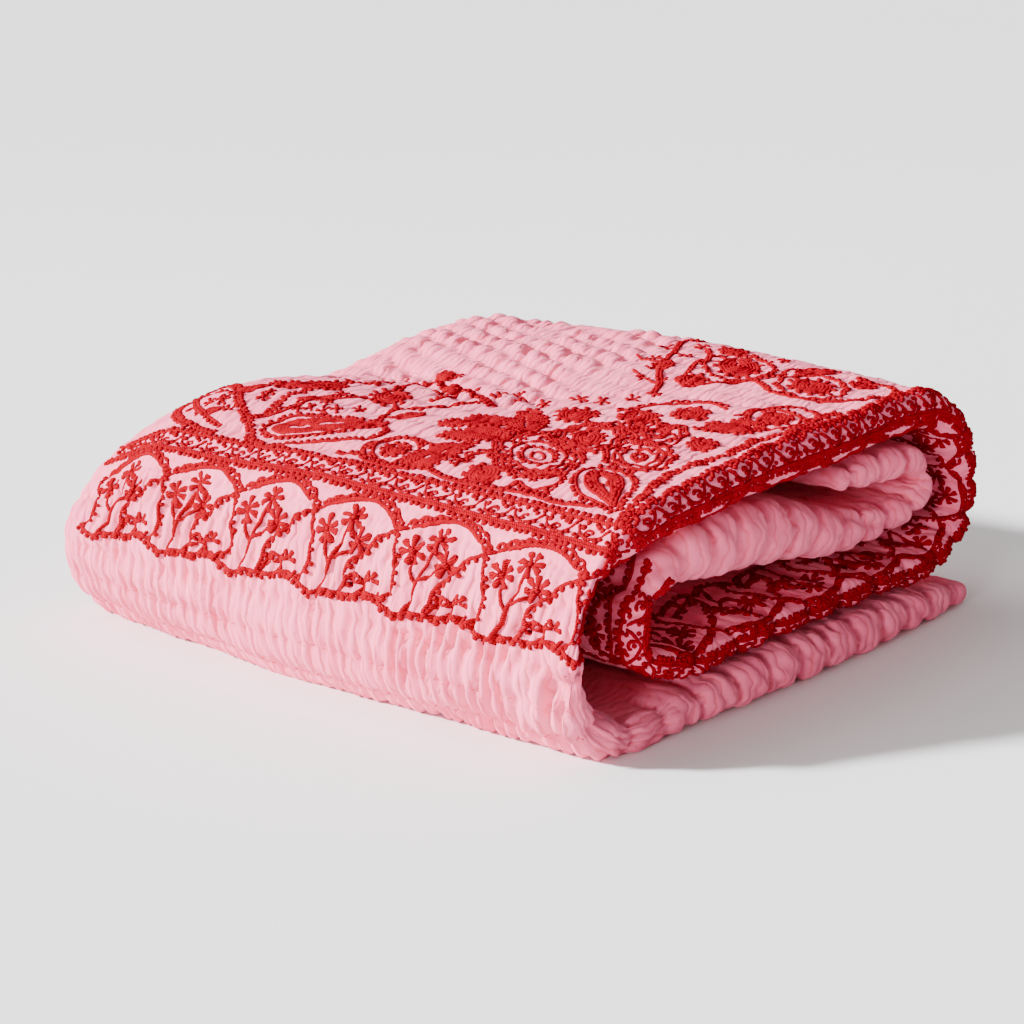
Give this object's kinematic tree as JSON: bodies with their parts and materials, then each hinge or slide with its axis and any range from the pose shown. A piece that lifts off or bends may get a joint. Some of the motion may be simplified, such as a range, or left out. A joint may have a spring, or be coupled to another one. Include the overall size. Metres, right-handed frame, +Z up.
{
  "type": "bedspread",
  "caption": "Quilted bedspread folded into a loose stack: one thick soft layer turned over on itself, with a rolled end tucked inside and open fold ends at the front.",
  "frame": {"origin": "on the floor under the middle of the folded stack", "axes": "+Z up, +Y along the folds from the open fold ends at the front towards the back, +X from the closed left fold towards the loose end on the floor"},
  "size_m": [0.5768, 0.6124, 0.221],
  "materials": {
    "pink_cotton": "matte quilted cotton",
    "red_wool": "matte wool embroidery thread"
  },
  "bodies": {
    "root": {"bedspread_quilt": "pink_cotton"}
  },
  "joints": []
}
